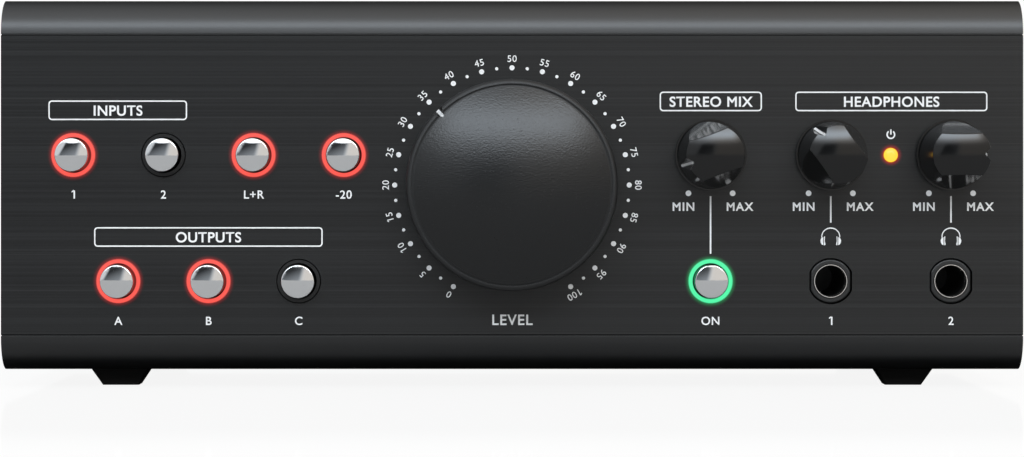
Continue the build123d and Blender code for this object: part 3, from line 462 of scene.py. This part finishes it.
class Print:
    """Shapes of ink on a face. Each is drawn flat, then put at x and z from the seat, with
    a clockwise turn in degrees. The seat is seen along its y axis."""

    def __init__(self, seat):
        self.shapes = bmesh.new()
        self.seat = seat

    def place(self, x, z, turn=0.0):
        upright = Matrix.Rotation(math.pi / 2, 4, "X")
        spin = Matrix.Rotation(math.radians(turn), 4, "Y")
        return self.seat @ Matrix.Translation((x, 0, z)) @ spin @ upright

    def row(self, points, place):
        """Adds the points of an outline, without a face."""
        return [self.shapes.verts.new(place @ Vector((*point, 0))) for point in points]

    def lettering(self, words, x, z, height, turn=0.0, spacing=1.1, weight=0.014):
        """Adds words, centred, with capitals of this height and strokes of this weight."""
        curve = bpy.data.curves.new("letters", "FONT")
        curve.body = words
        curve.align_x = "CENTER"
        curve.space_character = spacing
        drawn = bpy.data.objects.new("letters", curve)
        bpy.context.scene.collection.objects.link(drawn)
        bpy.context.view_layer.update()
        ready = drawn.evaluated_get(bpy.context.evaluated_depsgraph_get())
        mesh = bpy.data.meshes.new_from_object(ready)
        embolden(mesh, weight)
        mesh.transform(Matrix.Translation((0, -capital / 2, 0)))
        scale = height / (capital + 2 * weight)
        mesh.transform(Matrix.Diagonal((scale, scale, 1, 1)))
        if words.startswith("1"):
            # the typeface draws a 1 as a bare bar: it gets a flag, and moves to stay centred
            mesh.transform(Matrix.Translation((flag_reach / 2 * height, 0, 0)))
            bar = min(vertex.co.x for vertex in mesh.vertices)
            flag = [(0.0, 0.5), (-flag_reach, 0.335), (-flag_reach, 0.19), (0.0, 0.32)]
            self.polygon([(bar + px * height, py * height) for px, py in flag], x, z, turn)
        mesh.transform(self.place(x, z, turn))
        self.shapes.from_mesh(mesh)
        bpy.data.objects.remove(drawn)
        bpy.data.meshes.remove(mesh)

    def polygon(self, points, x, z, turn=0.0):
        """Adds a filled outline."""
        self.shapes.faces.new(self.row(points, self.place(x, z, turn)))

    def band(self, outer, inner, x, z, closed=True):
        """Adds the band between two outlines with as many points each."""
        place = self.place(x, z)
        outside = self.row(outer, place)
        within = self.row(inner, place)
        count = len(outer)
        for i in range(count if closed else count - 1):
            j = (i + 1) % count
            self.shapes.faces.new([outside[i], outside[j], within[j], within[i]])

    def dot(self, x, z, radius):
        self.polygon(arc(radius, 0, 360, 24)[:-1], x, z)

    def stroke(self, half_width, low, high, x, z):
        """Adds a bar, centred on x, between two heights above z."""
        left, right = -half_width, half_width
        self.polygon([(left, low), (right, low), (right, high), (left, high)], x, z)

    def thickened(self, name, finish):
        """Gives the flat shapes the depth of the ink and makes them one piece."""
        bmesh.ops.remove_doubles(self.shapes, verts=self.shapes.verts, dist=1e-7)
        flat = self.shapes.faces[:]
        raised = bmesh.ops.extrude_face_region(self.shapes, geom=flat, use_keep_orig=True)["geom"]
        tops = [each for each in raised if isinstance(each, bmesh.types.BMVert)]
        out = self.seat.to_3x3() @ Vector((0, -ink_depth, 0))
        bmesh.ops.translate(self.shapes, vec=out, verts=tops)
        bmesh.ops.recalc_face_normals(self.shapes, faces=self.shapes.faces)
        mesh = bpy.data.meshes.new(name)
        self.shapes.to_mesh(mesh)
        self.shapes.free()
        piece = bpy.data.objects.new(name, mesh)
        bpy.context.scene.collection.objects.link(piece)
        mesh.materials.append(finish)
        return piece


def round_box(width, height, corner, steps=6):
    """The outline of a rectangle with round corners."""
    points = []
    for quarter, (sx, sy) in enumerate([(1, 1), (-1, 1), (-1, -1), (1, -1)]):
        centre_x = sx * (width / 2 - corner)
        centre_y = sy * (height / 2 - corner)
        for px, py in arc(corner, 90 * quarter, 90 * (quarter + 1), steps):
            points.append((centre_x + px, centre_y + py))
    return points


front_print = Print(Matrix.Translation((0, face, middle)))


def titled_frame(words, x, z, width):
    """A word in a thin frame with round corners."""
    outer = round_box(width, frame_height, frame_corner)
    inner_size = (width - 2 * frame_line, frame_height - 2 * frame_line)
    inner = round_box(*inner_size, frame_corner - frame_line)
    front_print.band(outer, inner, x, z)
    front_print.lettering(words, x, z, title_height, spacing=1.08, weight=0.02)


def headphones(x, z):
    """A pictogram: a tapered headband and two ear cups."""
    directions = arc(1.0, -6, 186, 24)
    outer = [(2.0 * mm * cos, 1.95 * mm * sin) for cos, sin in directions]
    inner = [(1.8 * mm * cos, (1.74 - 0.06 * sin) * mm * sin) for cos, sin in directions]
    front_print.band(outer, inner, x, z, closed=False)
    pad = [(1.2, 0.05), (1.42, 0.0), (1.42, -1.75), (1.22, -1.85), (1.12, -1.6), (1.28, -0.9)]
    shell = [(1.58, -0.1), (1.98, -0.3), (2.18, -0.75), (2.14, -1.2), (1.92, -1.64), (1.58, -1.8)]
    for side in (-1, 1):
        for shape in (pad, shell):
            front_print.polygon([(side * px * mm, pz * mm) for px, pz in shape][::side], x, z)


dial_x = {name: middle_of(f"{name}_shaft").x for name in ("crossfeed", "phones_1", "phones_2")}
dial_row = 6.35 * mm
caption_row = -1.95 * mm
lower_caption_row = -28.64 * mm

titled_frame("INPUTS", -83.3 * mm, 15.8 * mm, 29.3 * mm)
titled_frame("OUTPUTS", -64.15 * mm, -10.97 * mm, 48.3 * mm)
titled_frame("STEREO MIX", 42.0 * mm, 17.67 * mm, 21.6 * mm)
titled_frame("HEADPHONES", 80.15 * mm, 17.67 * mm, 40.6 * mm)
upper_captions = {"source_1": "1", "source_2": "2", "mono": "L+R", "dim": "-20"}
lower_captions = {"monitor_a": "A", "monitor_b": "B", "monitor_c": "C", "crossfeed": "ON"}
for captions, row in ((upper_captions, caption_row), (lower_captions, lower_caption_row)):
    for name, words in captions.items():
        front_print.lettering(words, button_at[name].x, row, caption_height)
front_print.lettering("LEVEL", 0, -28.4 * mm, 2.37 * mm)
front_print.lettering("1", dial_x["phones_1"], lower_caption_row, caption_height)
front_print.lettering("2", dial_x["phones_2"], lower_caption_row, caption_height)

# the scale of the large dial: 0 to 100 over 300 degrees, with half steps between
scale_radius = 24.78 * mm
scale_dot = 0.54 * mm
half_step_dot = 0.34 * mm
number_radius = 26.75 * mm
number_height = 1.47 * mm
for step in range(41):
    turn = -150 + 7.5 * step
    across, up = math.sin(math.radians(turn)), math.cos(math.radians(turn))
    size = half_step_dot if step % 2 else scale_dot
    front_print.dot(scale_radius * across, scale_radius * up, size)
    if step % 2 == 0:
        number_at = (number_radius * across, number_radius * up)
        front_print.lettering(str(step * 5 // 2), *number_at, number_height, turn, weight=0.006)

# end marks and lines under the small dials
end_radius = 9.34 * mm
end_dot_row = dial_row - end_radius * math.cos(math.pi / 6)
end_dot = 0.6 * mm
end_word_side = 5.92 * mm
end_word_row = -4.51 * mm
end_word_height = 1.9 * mm
line_top = -2.35 * mm
for name, x in dial_x.items():
    for side, word in ((-1, "MIN"), (1, "MAX")):
        front_print.dot(x + side * end_radius / 2, end_dot_row, end_dot)
        word_at = (x + side * end_word_side + 0.2 * mm, end_word_row)
        front_print.lettering(word, *word_at, end_word_height, spacing=1.17, weight=0.026)
    line_foot = -14.53 * mm if name == "crossfeed" else -7.93 * mm
    front_print.stroke(0.17 * mm, line_foot, line_top, x, 0)
    if name != "crossfeed":
        headphones(x, -10.9 * mm)

# the power mark: a broken ring with a stroke
power_radius = 0.95 * mm
power_line = 0.3 * mm
power_row = 10.66 * mm
ring = [arc(radius, 125, 415, 30) for radius in (power_radius, power_radius - power_line)]
front_print.band(*ring, led_at.x, power_row, closed=False)
front_print.stroke(power_line / 2, 0, power_radius + power_line / 2, led_at.x, power_row)


def screen_ink():
    """Matte white ink, a little thinner here and there."""
    finish, start = new_finish("white_ink")
    cover = spots(start, 0.4 * mm)
    surface(start, {
        "Base Color": mix(cover, grey(0.744), grey(0.8)),
        "Roughness": 0.55,
    })
    return finish


white_ink = screen_ink()
plate_print = front_print.thickened("faceplate_print", white_ink)
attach(plate_print, "root")

# ---------------------------------------------------------------- case
# The folded cover, the tray and the rear panel: steel sheet with a black powder coat,
# which has a fine dry grain.


def powder_coat():
    finish, start = new_finish("powder_coat")
    grain = spots(start, 0.35 * mm, detail=4.0)
    cloud = spots(start, 14 * mm)
    surface(start, {
        "Base Color": mix(cloud, (0.012, 0.0125, 0.0135, 1), (0.016, 0.017, 0.018, 1)),
        "Roughness": 0.5 + grain * 0.15,
        "Normal": bumps(start, grain, 0.02 * mm),
    })
    return finish


dress(powder_coat(), "top_cover", "base_tray", "rear_panel")

# The same ink marks the sockets on the back: columns of inputs and outputs, with the left
# channel above the right one, and the power inlet. It is laid out as seen from behind.
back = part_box("rear_panel")[1].y
column_pitch = 25.4 * mm
first_column = 86 * mm
columns = [first_column - column_pitch * i for i in range(5)]
upper_row = 5.1 * mm
lower_row = upper_row - column_pitch
mark_row = upper_row + 10 * mm
mark_height = 2.6 * mm
group_line_row = upper_row + 14.5 * mm
group_line_over = 7 * mm
channel_height = 2.1 * mm
inlet_x = -60 * mm
inlet_row = lower_row + 12.2 * mm

back_print = Print(Matrix.Translation((0, back, middle)) @ Matrix.Rotation(math.pi, 4, "Z"))
for x, mark in zip(columns, "12ABC"):
    back_print.lettering(mark, x, mark_row, mark_height)
for words, first, last in (("INPUTS", 0, 1), ("OUTPUTS", 2, 4)):
    x = (columns[first] + columns[last]) / 2
    half_length = (columns[first] - columns[last]) / 2 + group_line_over
    back_print.stroke(half_length, -frame_line / 2, frame_line / 2, x, group_line_row)
    back_print.lettering(words, x, group_line_row + 3 * mm, title_height)
for z, channel in ((upper_row, "L"), (lower_row, "R")):
    for x in columns:
        back_print.lettering(channel, x - column_pitch / 2, z, channel_height)
back_print.lettering("DC", inlet_x, inlet_row, channel_height)
rear_print = back_print.thickened("rear_panel_print", white_ink)
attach(rear_print, "root")

# ---------------------------------------------------------------- feet
# Four black rubber blocks, narrower towards the table, each held by a screw from inside
# the tray.


def rubber():
    finish, start = new_finish("rubber")
    grain = spots(start, 0.25 * mm)
    surface(start, {
        "Base Color": mix(grain, grey(0.015), grey(0.021)),
        "Roughness": 0.6 + grain * 0.1,
        "Specular IOR Level": 0.15,
        "Normal": bumps(start, grain, 0.01 * mm),
    })
    return finish


feet = [f"foot_{end}_{side}" for end in ("front", "rear") for side in ("left", "right")]
dress(rubber(), *feet)

# ---------------------------------------------------------------- volume dial
# A hollow moulded knob with a soft matte skin. Its domed face has a fine leather grain
# inside a smooth rim, and a white pointer lies in the notch.

dome_radius = 51.49 * mm
dome_edge = 20.6 * mm
notch_near = 17.0 * mm
notch_far = 21.6 * mm


def soft_skin():
    """Matte black with a leather grain on the face, smooth outside it, and a painted shade in
    the notch, which lies deeper than the dome and its rim."""
    finish, start = new_finish("soft_skin")
    dome_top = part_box("volume_knob")[0].y
    radius = radius_about(start, middle_of("volume_shaft"))
    within = start.maths("MINIMUM", radius, dome_edge)
    dome = dome_top + dome_radius - start.maths("SQRT", dome_radius**2 - within * within)
    in_notch = rise(radius, notch_far, notch_far - 0.25 * mm)
    in_notch = in_notch * rise(radius, notch_near, notch_near + 0.5 * mm)
    # painted shade: below the dome the notch is black metal that reflects nothing, for the shade
    # in the recess
    painted_notch_shade = in_notch * rise(along(start, "Y") - dome, 0.4 * mm, 0.7 * mm)
    grain = spots(start, 0.28 * mm, detail=0.0, stretch=(1.5, 1, 1))
    on_face = rise(radius, dome_edge, dome_edge - 0.4 * mm)
    skin = mix(grain, (0.0052, 0.0055, 0.0058, 1), (0.0068, 0.007, 0.0073, 1))
    surface(start, {
        "Base Color": mix(painted_notch_shade, skin, grey(0.001)),
        "Metallic": painted_notch_shade,
        "Roughness": 0.48 - on_face * 0.23 + grain * 0.03,
        "Specular IOR Level": 0.44,
        "Normal": bumps(start, grain * on_face, 0.024 * mm),
    })
    return finish


dress(soft_skin(), "volume_knob")

# ---------------------------------------------------------------- small dials
# Glossy black knobs with two flats, pushed onto the shafts of the small pots, and a white
# pointer in the notch of each.


def gloss_black():
    finish, start = new_finish("gloss_black")
    smear = spots(start, 3 * mm)
    surface(start, {
        "Base Color": mix(smear, grey(0.0008), grey(0.0014)),
        "Roughness": 0.12 + smear * 0.04,
        "Specular IOR Level": 0.54,
    })
    return finish


small_dials = ["crossfeed", "phones_1", "phones_2"]
dress(gloss_black(), *[f"{name}_knob" for name in small_dials])


def pointer_white():
    finish, start = new_finish("pointer_white")
    cloud = spots(start, 1 * mm)
    surface(start, {"Base Color": mix(cloud, grey(0.8), grey(0.86)), "Roughness": 0.35})
    return finish


dress(pointer_white(), "volume_pointer", *[f"{name}_pointer" for name in small_dials])

# ---------------------------------------------------------------- button caps
# Plastic caps with a bright chrome skin and a low dome, on the stems of the push switches
# behind the plate.


def chrome():
    finish, start = new_finish("chrome")
    haze = spots(start, 1.5 * mm)
    surface(start, {
        "Base Color": mix(haze, (0.89, 0.9, 0.91, 1), (0.92, 0.93, 0.94, 1)),
        "Metallic": 1.0,
        "Roughness": 0.03 + haze * 0.02,
    })
    return finish


dress(chrome(), *[f"{name}_button" for name in buttons])

# ---------------------------------------------------------------- power light
# A small diffused lamp that stands on the front board and fills its hole in the plate:
# yellow in the middle and red at its rim.


def lamp_lens():
    finish, start = new_finish("lamp_lens")
    distance = radius_about(start, led_at)
    core = rise(distance, led_radius - 0.06 * mm, led_radius - 0.2 * mm)
    surface(start, {
        "Base Color": mix(core, (0.05, 0.005, 0.002, 1), (0.02, 0.015, 0.004, 1)),
        "Roughness": 0.4,
        "Emission Color": mix(core, (0.5, 0.03, 0.01, 1), (1.0, 0.74, 0.062, 1)),
        "Emission Strength": 1.0,
    })
    return finish


dress(lamp_lens(), "power_led")

# ---------------------------------------------------------------- headphone sockets
# Two moulded sockets for 6.35 mm plugs. Their noses fill the two-flat holes of the plate,
# and each has a bright tube at its mouth.

headphone_sockets = ["phones_1_jack", "phones_2_jack"]


def socket_plastic():
    finish, start = new_finish("socket_plastic")
    grain = spots(start, 0.3 * mm)
    surface(start, {
        "Base Color": mix(grain, grey(0.008), grey(0.011)),
        "Roughness": 0.36 + grain * 0.06,
        "Normal": bumps(start, grain, 0.005 * mm),
    })
    return finish


def ferrule_nickel():
    """Bright on the lip of the tube, with a painted shade in its bore and where it meets the
    moulding.
    """
    finish, start = new_finish("ferrule_nickel")
    distance = nearest(start, [middle_of(name) for name in headphone_sockets])
    # painted shade: off the lip the tube is nearly black metal, for the shade in the bore and the
    # joint
    lip = rise(distance, 3.24 * mm, 3.3 * mm) * rise(distance, 3.52 * mm, 3.46 * mm)
    haze = spots(start, 0.6 * mm)
    bright = mix(haze, (0.8, 0.77, 0.74, 1), (0.88, 0.85, 0.82, 1))
    surface(start, {
        "Base Color": mix(lip, grey(0.02), bright),
        "Metallic": 1.0,
        "Roughness": 0.22 + haze * 0.06,
    })
    return finish


dress(socket_plastic(), *headphone_sockets)
dress(ferrule_nickel(), "headphone_ferrules")

# ---------------------------------------------------------------- sockets, pots and screws
# Moulded sockets and switches in the same plastic, nickelled nuts, shafts and standoffs,
# and blackened steel screws.


def plated_steel(name, shade, roughness):
    finish, start = new_finish(name)
    haze = spots(start, 0.8 * mm)
    surface(start, {
        "Base Color": mix(haze, grey(shade * 0.92), grey(shade)),
        "Metallic": 1.0,
        "Roughness": roughness + haze * 0.05,
    })
    return finish


moulded = ["source_jacks", "monitor_jacks", "power_inlet"]
moulded += ["power_switch_frame", "push_switches", "board_header"]
dress(bpy.data.materials["socket_plastic"], *moulded)

nickelled = ["rear_jack_nuts", "usb_port", "pot_nuts", "board_standoffs"]
nickelled += [f"{name}_shaft" for name in ("volume", *small_dials)]
nickelled += ["volume_pot", "small_pots"]
dress(plated_steel("nickel", 0.7, 0.18), *nickelled)

screws = ["cover_screws", "bezel_screws", "rear_panel_screws", "board_screws", "foot_screws"]
dress(plated_steel("blackened_steel", 0.06, 0.35), *screws)

# ---------------------------------------------------------------- boards
# Three laminate boards under green lacquer, which carry capacitors in printed sleeves and
# chips in black epoxy.


def board_lacquer():
    finish, start = new_finish("board_lacquer")
    cloud = spots(start, 4 * mm)
    surface(start, {
        "Base Color": mix(cloud, (0.01, 0.06, 0.03, 1), (0.014, 0.09, 0.04, 1)),
        "Roughness": 0.35,
    })
    return finish


dress(board_lacquer(), "main_board", "front_board", "rear_socket_board")


def can_sleeve():
    """The printed sleeve of a capacitor: dark plastic film with bare metal on top."""
    finish, start = new_finish("can_sleeve")
    can_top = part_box("board_capacitors")[1].z
    top = rise(along(start, "Z"), can_top - 0.5 * mm, can_top - 0.3 * mm)
    haze = spots(start, 1.2 * mm)
    sleeve = mix(haze, (0.01, 0.012, 0.02, 1), (0.015, 0.018, 0.03, 1))
    surface(start, {
        "Base Color": mix(top, sleeve, grey(0.6)),
        "Metallic": top,
        "Roughness": 0.3 + haze * 0.1,
    })
    return finish


def chip_epoxy():
    finish, start = new_finish("chip_epoxy")
    grain = spots(start, 0.15 * mm)
    surface(start, {
        "Base Color": mix(grain, grey(0.012), grey(0.02)),
        "Roughness": 0.55 + grain * 0.1,
        "Normal": bumps(start, grain, 0.004 * mm),
    })
    return finish


dress(can_sleeve(), "board_capacitors")
dress(chip_epoxy(), "board_chips")

# ---------------------------------------------------------------- power rocker
# A see-saw key of smooth black plastic in a frame on the back, with a bar on the half that
# turns the power on and a ring on the other.


def rocker_plastic():
    finish, start = new_finish("rocker_plastic")
    smear = spots(start, 2 * mm)
    surface(start, {
        "Base Color": mix(smear, grey(0.006), grey(0.008)),
        "Roughness": 0.2 + smear * 0.08,
    })
    return finish


dress(rocker_plastic(), "power_rocker")

mark_from_middle = 4.5 * mm
bar_half_width = 0.25 * mm
bar_half_height = 1.3 * mm
ring_mark_outer = 1.4 * mm
ring_mark_inner = 0.95 * mm


def rocker_seat(up):
    """Where the key's face lies this far above its middle, and how it leans there."""
    key = middle_of("power_rocker")
    behind_key = Vector((key.x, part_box("power_rocker")[1].y + 10 * mm, key.z + up))
    _, place, normal, _ = nodes["power_rocker"].ray_cast(behind_key, Vector((0, -1, 0)))
    lean = Matrix.Rotation(math.atan2(normal.z, normal.y), 4, "X")
    return Matrix.Translation(place) @ lean @ Matrix.Rotation(math.pi, 4, "Z")


bar_mark = Print(rocker_seat(mark_from_middle))
bar_mark.stroke(bar_half_width, -bar_half_height, bar_half_height, 0, 0)
ring_mark = Print(rocker_seat(-mark_from_middle))
ring = [arc(radius, 0, 360, 30)[:-1] for radius in (ring_mark_outer, ring_mark_inner)]
ring_mark.band(*ring, 0, 0)
for mark, name in ((bar_mark, "rocker_bar"), (ring_mark, "rocker_ring")):
    piece = mark.thickened(name, white_ink)
    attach(piece, "rocker")
